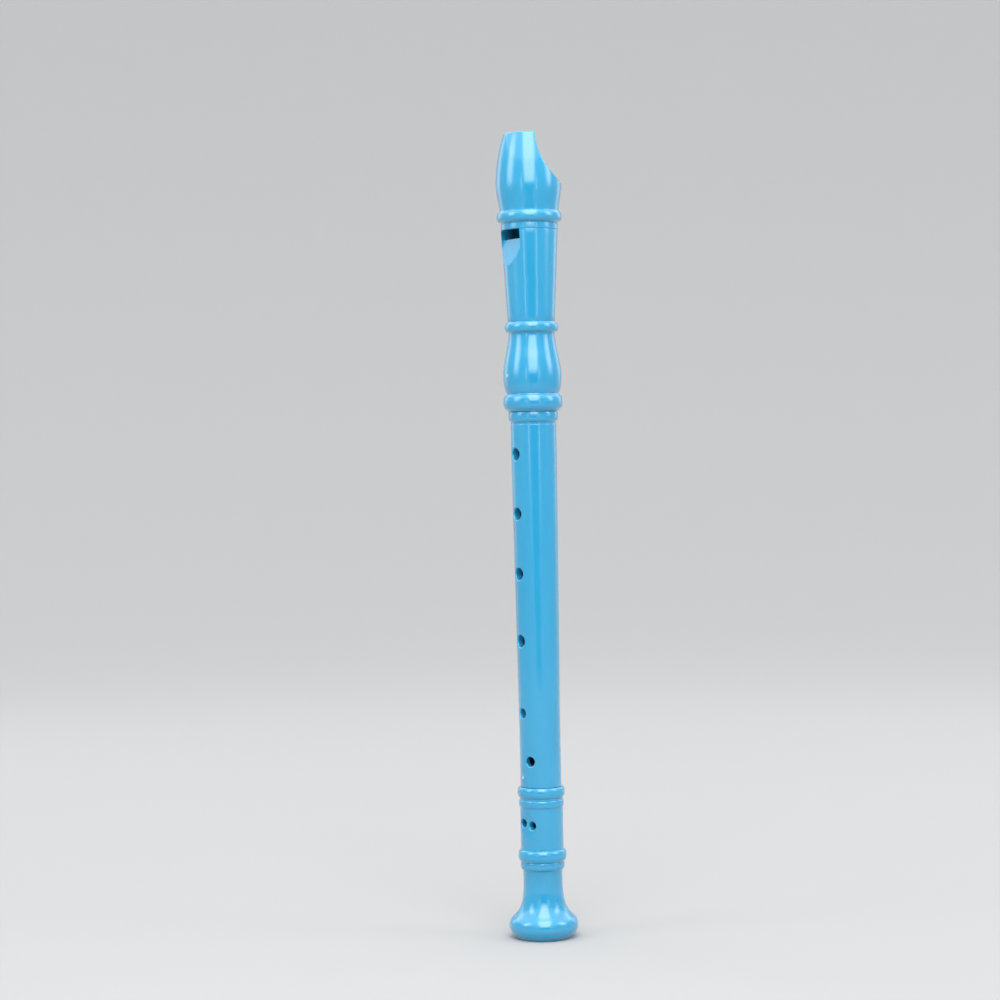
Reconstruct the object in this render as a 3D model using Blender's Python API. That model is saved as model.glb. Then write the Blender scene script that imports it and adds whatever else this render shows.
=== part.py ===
"""Soprano recorder, 300 mm long, in three joints: head, middle and foot.

The axis of the bore is +Z. The bell's end stands on the plane z = 0 and the beak's tip is at the top.
The window and the finger holes face -Y and the thumb hole faces +Y. Lengths are in millimetres here,
and become metres where a mesh is made. The five pieces are:

    mouthpiece     beak, rings, windway roof, and a skirt over the head joint's upper tenon
    fipple_block   plug in the beak whose front is the windway's floor
    head_joint     tube with the window, labium ramp, bulb and the socket for the middle joint
    middle_joint   tube with six finger holes, a thumb hole and a tenon at each end
    foot_joint     socket, rings, double hole in its finger dish, waist and bell
"""

import math

import bmesh
import bpy
from mathutils import Matrix, Vector
from mathutils.geometry import interpolate_bezier

MM = 0.001
TURN_STEPS = 48
CLEARANCE = 0.3

# Heights of the joints and of the ends along the axis.
TIP_Z = 300.0
HEAD_SEAM_Z = 263.8
MIDDLE_SEAM_Z = 196.2
FOOT_SEAM_Z = 56.2

# Push fits: outer radius of each tenon, and the height of its far end.
UPPER_TENON_RADIUS = 8.9
UPPER_TENON_TOP_Z = 272.0
MIDDLE_TENON_RADIUS = 7.4
MIDDLE_TENON_TOP_Z = 210.5
LOWER_TENON_RADIUS = 6.6
LOWER_TENON_BOTTOM_Z = 47.0
SOCKET_FLOOR_GAP = 0.5

# Bore radii.
HEAD_BORE_RADIUS = 7.1
MIDDLE_BORE_TOP_RADIUS = 6.0
MIDDLE_BORE_BOTTOM_RADIUS = 5.2
FOOT_BORE_RADIUS = 5.2
BELL_MOUTH_RADIUS = 8.0

# Outer radii of the tubes.
FOOT_BARREL_RADIUS = 8.05
WAIST_RADIUS = 7.4
BELL_RADIUS = 13.0
BELL_RIM_RADIUS = 10.5
TUBE_BOTTOM_RADIUS = 7.7
TUBE_TOP_RADIUS = 8.6
TUBE_TAPER_FROM_Z = 75.0
TUBE_TAPER_TO_Z = 180.0
HEAD_TUBE_BOTTOM_RADIUS = 8.9
HEAD_TUBE_TOP_RADIUS = 10.7
HEAD_TUBE_FROM_Z = 229.8
BULB_RADIUS = 11.0
BEAK_RADIUS = 12.4

# Beak: the hollow at the back, which the lower lip rests on, is part of a cylinder along X.
BEAK_CUT_RADIUS = 16.1
BEAK_CUT_Y = 13.4
BEAK_CUT_Z = 296.8

# Windway, from its exit over the window up to the tip: distances from the axis towards -Y.
WINDWAY_EXIT_HALF_WIDTH = 5.5
WINDWAY_TIP_HALF_WIDTH = 5.0
WINDWAY_EXIT_FLOOR = 6.9
WINDWAY_TIP_FLOOR = 4.6
WINDWAY_EXIT_ROOF = 8.1
WINDWAY_TIP_ROOF = 6.3
KEY_FLAT = 4.0

# Window and labium.
WINDOW_HALF_WIDTH = 6.2
WINDOW_BOTTOM_Y = 3.0
LABIUM_EDGE_Z = 260.4
LABIUM_EDGE_Y = 7.4
LABIUM_RAMP_END_Z = 250.5
LABIUM_RAMP_END_Y = 10.02
LABIUM_UNDERCUT_Y = 6.9
LABIUM_UNDERCUT_END_Z = 251.0

# Holes: height, diameter, and angle round the axis from -Y towards +X in degrees.
FINGER_HOLES = (
    (180.3, 4.6, 0.0),
    (158.1, 4.6, 0.0),
    (135.8, 4.6, 0.0),
    (110.8, 4.6, 0.0),
    (83.9, 3.6, 0.0),
    (66.1, 3.5, 25.5),
)
THUMB_HOLE = (186.3, 4.6, 180.0)
HOLE_STEPS = 20

# The foot's two holes lie side by side and run the same way: height, diameter and distance aside.
FOOT_HOLES = (
    (42.9, 3.0, -2.2),
    (42.3, 3.0, 2.2),
)
FINGER_DISH_Z = 42.6
FINGER_DISH_ANGLE = 11.25
FINGER_DISH_DEPTH = 0.6
FINGER_DISH_CURVE_RADIUS = 10.2

SKY_BLUE = (0.091, 0.456, 0.753)
SHADOW_BLUE = (0.070, 0.400, 0.690)
PLASTIC_ROUGHNESS = 0.25


# Outline helpers: every outline is a list of (radius, height) points, going up the outside.

def bead(bottom_z, top_z, base, crown, steps=6, top_base=None):
    """Half an ellipse from the radius base out to crown, and back to base or to top_base."""
    middle = (bottom_z + top_z) / 2
    half = (top_z - bottom_z) / 2
    points = []
    for step in range(steps + 1):
        angle = math.pi * step / steps
        foot = top_base if top_base and 2 * step > steps else base
        points.append((foot + (crown - foot) * math.sin(angle), middle - half * math.cos(angle)))
    return points


def curve(start, start_handle, end_handle, end, steps=4):
    """Bezier stretch of an outline, without its last point."""
    knots = [Vector((radius, height, 0)) for radius, height in (start, start_handle, end_handle, end)]
    points = interpolate_bezier(*knots, steps + 1)
    return [(point.x, point.y) for point in points[:-1]]


def between(low, high, share):
    return low + (high - low) * share


def windway_at(z):
    """Half width, floor and roof of the windway at the height z."""
    share = (z - HEAD_SEAM_Z) / (TIP_Z - HEAD_SEAM_Z)
    half_width = between(WINDWAY_EXIT_HALF_WIDTH, WINDWAY_TIP_HALF_WIDTH, share)
    floor = between(WINDWAY_EXIT_FLOOR, WINDWAY_TIP_FLOOR, share)
    roof = between(WINDWAY_EXIT_ROOF, WINDWAY_TIP_ROOF, share)
    return half_width, floor, roof


def toward(angle_degrees):
    """Unit vector away from the axis, at an angle from -Y towards +X."""
    angle = math.radians(angle_degrees)
    return Vector((math.sin(angle), -math.cos(angle), 0))


# Mesh helpers.

def clear_scene():
    for thing in list(bpy.data.objects):
        bpy.data.objects.remove(thing, do_unlink=True)


def plastic(name, colour, roughness):
    material = bpy.data.materials.new(name)
    material.use_nodes = True
    shader = material.node_tree.nodes["Principled BSDF"]
    shader.inputs["Base Color"].default_value = (*colour, 1)
    shader.inputs["Roughness"].default_value = roughness
    shader.inputs["Metallic"].default_value = 0
    material.diffuse_color = (*colour, 1)
    return material


def new_object(name, mesh_builder):
    """Object from a filled bmesh in millimetres, with its normals facing out."""
    bmesh.ops.scale(mesh_builder, vec=(MM, MM, MM), verts=mesh_builder.verts)
    bmesh.ops.recalc_face_normals(mesh_builder, faces=mesh_builder.faces)
    mesh = bpy.data.meshes.new(name)
    mesh_builder.to_mesh(mesh)
    mesh_builder.free()
    thing = bpy.data.objects.new(name, mesh)
    bpy.context.scene.collection.objects.link(thing)
    return thing


def turned(name, outline, closed):
    """Solid of revolution: a closed outline makes a tube, an open one starts and ends on the axis."""
    builder = bmesh.new()
    corners = [builder.verts.new((radius, 0, height)) for radius, height in outline]
    edges = [builder.edges.new(pair) for pair in zip(corners, corners[1:])]
    if closed:
        edges.append(builder.edges.new((corners[-1], corners[0])))
    bmesh.ops.spin(
        builder,
        geom=corners + edges,
        cent=(0, 0, 0),
        axis=(0, 0, 1),
        angle=math.tau,
        steps=TURN_STEPS,
        use_merge=True,
    )
    bmesh.ops.remove_doubles(builder, verts=builder.verts, dist=0.0001)
    return new_object(name, builder)


def lofted(name, low_section, low_z, high_section, high_z):
    """Solid between two outlines in X and Y that have the same number of corners."""
    builder = bmesh.new()
    low = [builder.verts.new((x, y, low_z)) for x, y in low_section]
    high = [builder.verts.new((x, y, high_z)) for x, y in high_section]
    builder.faces.new(low)
    builder.faces.new(high)
    for i, corner in enumerate(low):
        following = (i + 1) % len(low)
        builder.faces.new((corner, low[following], high[following], high[i]))
    return new_object(name, builder)


def profile_along_x(name, outline, half_width):
    """Solid with the same outline in Y and Z all along X."""
    builder = bmesh.new()
    left = [builder.verts.new((-half_width, y, z)) for y, z in outline]
    right = [builder.verts.new((half_width, y, z)) for y, z in outline]
    builder.faces.new(left)
    builder.faces.new(right)
    for i, corner in enumerate(left):
        following = (i + 1) % len(left)
        builder.faces.new((corner, left[following], right[following], right[i]))
    return new_object(name, builder)


def rod(name, centre, axis, radius, length, steps):
    """Cylinder round an axis in any direction."""
    builder = bmesh.new()
    turn = Vector((0, 0, 1)).rotation_difference(Vector(axis)).to_matrix().to_4x4()
    bmesh.ops.create_cone(
        builder,
        cap_ends=True,
        segments=steps,
        radius1=radius,
        radius2=radius,
        depth=length,
        matrix=Matrix.Translation(centre) @ turn,
    )
    return new_object(name, builder)


def cut(piece, cutter):
    """Take the cutter's space out of the piece, and keep the cutter as a wire guide."""
    boolean = piece.modifiers.new(cutter.name, "BOOLEAN")
    boolean.operation = "DIFFERENCE"
    boolean.solver = "EXACT"
    boolean.object = cutter
    cutter.hide_render = True
    cutter.display_type = "WIRE"


def finish_piece(piece, material):
    piece.data.materials.append(material)
    piece.data.shade_smooth()
    piece.data.set_sharp_from_angle(angle=math.radians(35))


# Sections of the keyed plug that the beak holds.

def flatted_circle(radius, flat):
    """Circle round the axis, cut off straight at y = -flat."""
    reach = math.asin(flat / radius)
    sweep = math.pi + 2 * reach
    count = TURN_STEPS * 2 // 3
    points = []
    for step in range(count + 1):
        angle = -reach + sweep * step / count
        points.append((radius * math.cos(angle), radius * math.sin(angle)))
    return points


def keyed_section(radius, flat, key_half_width, key_front):
    """Flatted circle with a rectangular key that stands out of its flat to y = -key_front."""
    key = [
        (-key_half_width, -flat),
        (-key_half_width, -key_front),
        (key_half_width, -key_front),
        (key_half_width, -flat),
    ]
    return flatted_circle(radius, flat) + key


# Pieces.

def make_mouthpiece(beak_cutter):
    bottom = HEAD_SEAM_Z + CLEARANCE
    widest = (BEAK_RADIUS, 281.0)
    shoulder = (11.1, 270.8)
    outline = [(0, bottom), (10.6, bottom), (10.75, bottom + 0.2), (10.75, 265.9), (10.55, 266.2)]
    outline += bead(266.5, 270.8, 10.65, 12.3, steps=8, top_base=11.1)[:-1]
    outline += curve(shoulder, (11.45, 274.5), (BEAK_RADIUS, 277.6), widest)
    outline += curve(widest, (BEAK_RADIUS, 287.5), (10.9, 294.5), (9.35, 299.3), steps=6)
    outline += [(9.35, 299.3), (8.7, TIP_Z), (0, TIP_Z)]
    piece = turned("mouthpiece", outline, closed=False)

    low, high = bottom - 1, TIP_Z + 1
    low_half_width, _, low_roof = windway_at(low)
    high_half_width, _, high_roof = windway_at(high)
    cavity = lofted(
        "windway_and_block_space",
        keyed_section(HEAD_BORE_RADIUS, KEY_FLAT, low_half_width, low_roof), low,
        keyed_section(HEAD_BORE_RADIUS, KEY_FLAT, high_half_width, high_roof), high,
    )
    skirt_section = flatted_circle(UPPER_TENON_RADIUS + CLEARANCE, KEY_FLAT)
    skirt = lofted("skirt_space", skirt_section, low, skirt_section, UPPER_TENON_TOP_Z + CLEARANCE)
    cut(piece, cavity)
    cut(piece, skirt)
    cut(piece, beak_cutter)
    return piece


def make_fipple_block(beak_cutter):
    bottom = HEAD_SEAM_Z + CLEARANCE
    radius = HEAD_BORE_RADIUS - CLEARANCE
    flat = KEY_FLAT - CLEARANCE
    low_half_width, low_floor, _ = windway_at(bottom)
    high_half_width, high_floor, _ = windway_at(TIP_Z)
    piece = lofted(
        "fipple_block",
        keyed_section(radius, flat, low_half_width - CLEARANCE, low_floor), bottom,
        keyed_section(radius, flat, high_half_width - CLEARANCE, high_floor), TIP_Z,
    )
    cut(piece, beak_cutter)
    return piece


def make_head_joint():
    bottom = MIDDLE_SEAM_Z + CLEARANCE
    socket_radius = MIDDLE_TENON_RADIUS + CLEARANCE
    socket_floor = MIDDLE_TENON_TOP_Z + SOCKET_FLOOR_GAP
    bulb_neck = (9.75, 202.8)
    bulb = (BULB_RADIUS, 209.5)
    bulb_top = (8.7, 225.0)
    outline = [(socket_radius, bottom), (9.8, bottom)]
    outline += bead(196.8, 202.5, 9.9, 11.2, steps=8)
    outline += curve(bulb_neck, (10.1, 203.3), (BULB_RADIUS, 205.5), bulb)
    outline += curve(bulb, (BULB_RADIUS, 215.0), (9.0, 219.5), bulb_top, steps=6)
    outline += [bulb_top]
    outline += bead(225.6, 229.6, 8.8, 10.1, steps=8)
    outline += [
        (HEAD_TUBE_BOTTOM_RADIUS, HEAD_TUBE_FROM_Z),
        (HEAD_TUBE_TOP_RADIUS, HEAD_SEAM_Z),
        (UPPER_TENON_RADIUS, HEAD_SEAM_Z),
        (UPPER_TENON_RADIUS, UPPER_TENON_TOP_Z),
        (HEAD_BORE_RADIUS, UPPER_TENON_TOP_Z),
        (HEAD_BORE_RADIUS, socket_floor),
        (socket_radius, socket_floor),
    ]
    piece = turned("head_joint", outline, closed=True)

    far_y = -2 * HEAD_TUBE_TOP_RADIUS
    above = UPPER_TENON_TOP_Z + 1
    tenon_flat = profile_along_x(
        "tenon_flat",
        [(-(KEY_FLAT - CLEARANCE), HEAD_SEAM_Z), (-(KEY_FLAT - CLEARANCE), above),
         (far_y, above), (far_y, HEAD_SEAM_Z)],
        2 * UPPER_TENON_RADIUS,
    )
    ramp_slope = (LABIUM_RAMP_END_Y - LABIUM_EDGE_Y) / (LABIUM_EDGE_Z - LABIUM_RAMP_END_Z)
    ramp_foot_z = LABIUM_EDGE_Z - (-far_y - LABIUM_EDGE_Y) / ramp_slope
    window = profile_along_x(
        "window_and_ramp",
        [(-WINDOW_BOTTOM_Y, HEAD_SEAM_Z + 1), (-WINDOW_BOTTOM_Y, LABIUM_EDGE_Z),
         (-LABIUM_EDGE_Y, LABIUM_EDGE_Z), (far_y, ramp_foot_z), (far_y, HEAD_SEAM_Z + 1)],
        WINDOW_HALF_WIDTH,
    )
    undercut = profile_along_x(
        "labium_undercut",
        [(0, LABIUM_EDGE_Z + 1), (0, LABIUM_UNDERCUT_END_Z), (-KEY_FLAT, LABIUM_UNDERCUT_END_Z),
         (-LABIUM_UNDERCUT_Y, LABIUM_EDGE_Z), (-LABIUM_UNDERCUT_Y, LABIUM_EDGE_Z + 1)],
        WINDOW_HALF_WIDTH,
    )
    cut(piece, tenon_flat)
    cut(piece, window)
    cut(piece, undercut)
    return piece


def make_hole_cutter(name, height, diameter, angle, reach, aside=0.0):
    """Straight hole out through one wall, from near the axis or from a distance aside of it."""
    direction = toward(angle)
    sideways = toward(angle + 90)
    start = reach / 6
    centre = direction * (start + reach) / 2 + sideways * aside + Vector((0, 0, height))
    return rod(name, centre, direction, diameter / 2, reach - start, HOLE_STEPS)


def make_middle_joint():
    shoulder = FOOT_SEAM_Z + CLEARANCE
    outline = [
        (MIDDLE_BORE_BOTTOM_RADIUS, LOWER_TENON_BOTTOM_Z),
        (LOWER_TENON_RADIUS, LOWER_TENON_BOTTOM_Z),
        (LOWER_TENON_RADIUS, shoulder),
        (TUBE_BOTTOM_RADIUS, shoulder),
        (TUBE_BOTTOM_RADIUS, TUBE_TAPER_FROM_Z),
        (TUBE_TOP_RADIUS, TUBE_TAPER_TO_Z),
        (TUBE_TOP_RADIUS, 191.0),
        (8.45, 191.3),
    ]
    outline += bead(192.3, MIDDLE_SEAM_Z, 8.5, 9.35, top_base=9.0)
    outline += [
        (MIDDLE_TENON_RADIUS, MIDDLE_SEAM_Z),
        (MIDDLE_TENON_RADIUS, MIDDLE_TENON_TOP_Z),
        (MIDDLE_BORE_TOP_RADIUS, MIDDLE_TENON_TOP_Z),
    ]
    piece = turned("middle_joint", outline, closed=True)
    for number, (height, diameter, angle) in enumerate(FINGER_HOLES, start=1):
        cut(piece, make_hole_cutter(f"finger_hole_{number}", height, diameter, angle, 2 * TUBE_TOP_RADIUS))
    cut(piece, make_hole_cutter("thumb_hole", *THUMB_HOLE, 2 * TUBE_TOP_RADIUS))
    return piece


def bell_outline():
    """From the rim on the floor, over the rounded lip, up to the waist."""
    rim = (BELL_RIM_RADIUS, 0)
    widest = (BELL_RADIUS, 4.2)
    shoulder = (11.4, 8.0)
    waist = (WAIST_RADIUS, 19.0)
    points = curve(rim, (11.2, 0.8), (12.9, 2.3), widest, steps=5)
    points += curve(widest, (BELL_RADIUS, 5.9), (12.6, 6.9), shoulder)
    points += curve(shoulder, (9.5, 9.8), (7.7, 11.3), waist, steps=6)
    return points + [waist]


def make_foot_joint():
    socket_radius = LOWER_TENON_RADIUS + CLEARANCE
    socket_floor = LOWER_TENON_BOTTOM_Z - SOCKET_FLOOR_GAP
    outline = [(BELL_MOUTH_RADIUS, 0)]
    outline += bell_outline()
    outline += [(WAIST_RADIUS, 24.8)]
    outline += bead(25.4, 28.2, 7.6, 8.3, top_base=8.1)
    outline += bead(28.5, 32.8, 8.15, 9.05)
    outline += [(FOOT_BARREL_RADIUS, 33.4), (FOOT_BARREL_RADIUS, 48.4)]
    outline += bead(48.7, 51.4, 8.1, 8.45, steps=4)
    outline += bead(52.3, FOOT_SEAM_Z, 8.1, 8.9)
    outline += [(socket_radius, FOOT_SEAM_Z), (socket_radius, socket_floor), (FOOT_BORE_RADIUS, socket_floor)]
    flare_top = (FOOT_BORE_RADIUS, 16.0)
    outline += curve(flare_top, (5.3, 9.0), (6.2, 3.5), (BELL_MOUTH_RADIUS, 0), steps=5)
    piece = turned("foot_joint", outline, closed=True)

    across = toward(FINGER_DISH_ANGLE)
    distance = FOOT_BARREL_RADIUS - FINGER_DISH_DEPTH + FINGER_DISH_CURVE_RADIUS
    dish = rod(
        "finger_dish",
        across * distance + Vector((0, 0, FINGER_DISH_Z)),
        across.cross(Vector((0, 0, 1))),
        FINGER_DISH_CURVE_RADIUS,
        2 * BELL_RADIUS,
        2 * TURN_STEPS,
    )
    cut(piece, dish)
    reach = 2 * FOOT_BARREL_RADIUS
    for number, (height, diameter, aside) in enumerate(FOOT_HOLES, start=1):
        name = f"foot_hole_{number}"
        cut(piece, make_hole_cutter(name, height, diameter, FINGER_DISH_ANGLE, reach, aside))
    return piece


def main():
    clear_scene()
    beak_cutter = rod(
        "beak_hollow",
        Vector((0, BEAK_CUT_Y, BEAK_CUT_Z)),
        Vector((1, 0, 0)),
        BEAK_CUT_RADIUS,
        4 * BEAK_RADIUS,
        2 * TURN_STEPS,
    )
    shell = (SKY_BLUE, PLASTIC_ROUGHNESS)
    hidden = (SHADOW_BLUE, PLASTIC_ROUGHNESS)
    finish_piece(make_mouthpiece(beak_cutter), plastic("mouthpiece_plastic", *shell))
    finish_piece(make_fipple_block(beak_cutter), plastic("block_plastic", *hidden))
    finish_piece(make_head_joint(), plastic("head_plastic", *shell))
    finish_piece(make_middle_joint(), plastic("middle_plastic", *shell))
    finish_piece(make_foot_joint(), plastic("foot_plastic", *shell))


main()
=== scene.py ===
"""Looks of the soprano recorder: five moulded pieces in glossy light blue plastic, on a pale studio floor.

Lengths are in millimetres and become metres where a mesh is made. Angles round the bore are measured
from the front (-Y) towards +X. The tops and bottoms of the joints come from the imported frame.
"""

import math

import bmesh
import bpy
import numpy as np
from mathutils import Matrix, Vector
from mathutils.geometry import interpolate_bezier


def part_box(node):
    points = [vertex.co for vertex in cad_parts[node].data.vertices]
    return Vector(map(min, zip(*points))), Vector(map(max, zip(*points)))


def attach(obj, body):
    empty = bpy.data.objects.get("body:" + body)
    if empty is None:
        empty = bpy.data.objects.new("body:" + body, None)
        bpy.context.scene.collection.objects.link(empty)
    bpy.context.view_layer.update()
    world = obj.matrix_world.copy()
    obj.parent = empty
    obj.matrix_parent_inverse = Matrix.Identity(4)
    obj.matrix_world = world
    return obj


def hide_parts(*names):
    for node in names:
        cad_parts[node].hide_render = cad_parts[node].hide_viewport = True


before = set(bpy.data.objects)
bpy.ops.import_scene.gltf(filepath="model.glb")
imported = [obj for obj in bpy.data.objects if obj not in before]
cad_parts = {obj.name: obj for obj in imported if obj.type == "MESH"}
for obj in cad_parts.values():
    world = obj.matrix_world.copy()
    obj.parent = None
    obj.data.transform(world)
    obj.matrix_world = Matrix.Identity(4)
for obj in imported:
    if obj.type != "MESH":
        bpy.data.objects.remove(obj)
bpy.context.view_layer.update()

MM = 0.001
CLEARANCE = 0.3
SEAM_GAP = 0.04
PRESSED_GAP = 0.06


def lowest(node):
    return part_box(node)[0].z / MM


def highest(node):
    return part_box(node)[1].z / MM


# Heights of the seams between the joints.
TIP_Z = highest("mouthpiece")
BEAK_BOTTOM_Z = lowest("mouthpiece")
HEAD_SEAM_Z = BEAK_BOTTOM_Z - CLEARANCE
UPPER_TENON_TOP_Z = highest("head_joint")
HEAD_BOTTOM_Z = lowest("head_joint")
MIDDLE_SEAM_Z = HEAD_BOTTOM_Z - CLEARANCE
MIDDLE_TENON_TOP_Z = highest("middle_joint")
LOWER_TENON_BOTTOM_Z = lowest("middle_joint")
FOOT_SEAM_Z = highest("foot_joint")
SOCKET_FLOOR_GAP = 0.5

# Radii of the tenons and the bores.
UPPER_TENON_RADIUS = 8.9
MIDDLE_TENON_RADIUS = 7.4
LOWER_TENON_RADIUS = 6.6
HEAD_BORE_RADIUS = 7.1
MIDDLE_BORE_TOP_RADIUS = 6.0
MIDDLE_BORE_BOTTOM_RADIUS = 5.2
FOOT_BORE_RADIUS = 5.2
BELL_MOUTH_RADIUS = 8.0

# Outer radii of the tubes.
FOOT_BARREL_RADIUS = 8.05
WAIST_RADIUS = 7.4
BELL_RADIUS = 13.0
BELL_RIM_RADIUS = 10.5
TUBE_BOTTOM_RADIUS = 7.7
TUBE_TOP_RADIUS = 8.6
TUBE_TAPER_FROM_Z = 75.0
TUBE_TAPER_TO_Z = 180.0
HEAD_TUBE_BOTTOM_RADIUS = 8.9
HEAD_TUBE_TOP_RADIUS = 10.7
HEAD_TUBE_FROM_Z = 229.8
BULB_RADIUS = 11.0
BEAK_RADIUS = 12.4

# Beak: the hollow at its back is part of a cylinder along X.
BEAK_CUT_RADIUS = 16.1
BEAK_CUT_Y = 13.4
BEAK_CUT_Z = 296.8
BEAK_CENTRE_Y = -5.8

# Windway, from its exit over the window up to the tip: distances from the axis towards the front.
WINDWAY_EXIT_HALF_WIDTH = 5.5
WINDWAY_TIP_HALF_WIDTH = 5.0
WINDWAY_EXIT_FLOOR = 6.9
WINDWAY_TIP_FLOOR = 4.6
WINDWAY_EXIT_ROOF = 8.1
WINDWAY_TIP_ROOF = 6.3
KEY_FLAT = 4.0

# Window and labium.
WINDOW_HALF_WIDTH = 6.2
LABIUM_EDGE_Z = 260.4
LABIUM_EDGE_Y = 7.4
LABIUM_RAMP_END_Z = 250.5
LABIUM_RAMP_END_Y = 10.02
LABIUM_UNDERCUT_Y = 6.9
LABIUM_UNDERCUT_END_Z = 251.0

# Holes: height, diameter, and angle round the bore in degrees.
FINGER_HOLES = (
    (180.3, 4.6, 0.0),
    (158.1, 4.6, 0.0),
    (135.8, 4.6, 0.0),
    (110.8, 4.6, 0.0),
    (83.9, 3.6, 0.0),
    (66.1, 3.5, 25.5),
)
THUMB_HOLE = (186.3, 4.6, 180.0)

# The foot's two holes lie side by side and run the same way: height, diameter and distance aside.
FOOT_HOLES = (
    (42.9, 3.0, -2.2),
    (42.3, 3.0, 2.2),
)
FINGER_DISH_Z = 42.6
FINGER_DISH_ANGLE = 11.25
FINGER_DISH_DEPTH = 0.6
FINGER_DISH_CURVE_RADIUS = 10.2

# Marks of the mould: where the plastic came in, as a height and an angle.
HEAD_GATE = (209.5, -2.0)
MIDDLE_GATE = (60.0, -2.0)

CAMERA_AZIMUTH = 57.0


# Outlines: lists of (radius, height) points, going up the outside.

def bead(bottom_z, top_z, base, crown, steps=16, top_base=None):
    """Half an ellipse from the radius base out to crown, and back to base or to top_base."""
    middle = (bottom_z + top_z) / 2
    half = (top_z - bottom_z) / 2
    points = []
    for step in range(steps + 1):
        angle = math.pi * step / steps
        foot = top_base if top_base and 2 * step > steps else base
        points.append((foot + (crown - foot) * math.sin(angle), middle - half * math.cos(angle)))
    return points


def curve(start, start_handle, end_handle, end, steps=14):
    """Bezier stretch of an outline, without its last point."""
    knots = [Vector((radius, height, 0)) for radius, height in (start, start_handle, end_handle, end)]
    return [(point.x, point.y) for point in interpolate_bezier(*knots, steps + 1)[:-1]]


def soften(outline, radius=0.2, closed=True, steps=4):
    """The outline with each sharp corner rounded off."""
    points = [Vector(point) for point in outline]
    softened = []
    for i, corner in enumerate(points):
        before = points[i - 1] - corner
        after = points[(i + 1) % len(points)] - corner
        at_end = not closed and i in (0, len(points) - 1)
        if at_end or before.length < 1e-6 or after.length < 1e-6 or before.angle(after) > math.radians(150):
            softened.append(tuple(corner))
            continue
        reach = min(radius, 0.45 * before.length, 0.45 * after.length)
        start = corner + before.normalized() * reach
        end = corner + after.normalized() * reach
        for step in range(steps + 1):
            share = step / steps
            point = start * (1 - share) ** 2 + corner * 2 * share * (1 - share) + end * share**2
            softened.append(tuple(point))
    return softened


def between(low, high, share):
    return low + (high - low) * share


def smooth_minimum(first, second, blend):
    """The lower of two lengths, rounded over where they meet."""
    overlap = np.maximum(blend - np.abs(first - second), 0) / blend
    return np.minimum(first, second) - overlap**2 * blend / 4


def polar(radius, angle, height):
    radius, angle, height = np.broadcast_arrays(radius, angle, height)
    return np.stack([radius * np.sin(angle), -radius * np.cos(angle), height], axis=-1)


# Mesh building.

class Skin:
    """Points and faces of one closed skin, in millimetres."""

    def __init__(self):
        self.points = []
        self.faces = []
        self.count = 0

    def add(self, points):
        """Takes an array of points, and returns their numbers in the same arrangement."""
        points = np.asarray(points, float)
        numbers = np.arange(self.count, self.count + points[..., 0].size).reshape(points.shape[:-1])
        self.points.append(points.reshape(-1, 3))
        self.count += numbers.size
        return numbers

    def join(self, first, second, keep=None, closed=True):
        """Quads between two rows of numbers, where keep is true."""
        first_next, second_next = np.roll(first, -1), np.roll(second, -1)
        quads = np.stack([first, first_next, second_next, second], axis=-1)
        if not closed:
            quads = quads[:-1]
        if keep is not None:
            quads = quads[keep]
        self.faces += quads.tolist()

    def build(self, name):
        mesh = bpy.data.meshes.new(name)
        mesh.from_pydata((np.concatenate(self.points) * MM).tolist(), [], self.faces)
        return finish_mesh(name, mesh)


def finish_mesh(name, mesh):
    """Object with merged points, and with its faces turned outwards."""
    builder = bmesh.new()
    builder.from_mesh(mesh)
    bmesh.ops.remove_doubles(builder, verts=builder.verts, dist=1e-7)
    bmesh.ops.recalc_face_normals(builder, faces=builder.faces)
    builder.to_mesh(mesh)
    builder.free()
    piece = bpy.data.objects.new(name, mesh)
    bpy.context.scene.collection.objects.link(piece)
    return piece


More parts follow.
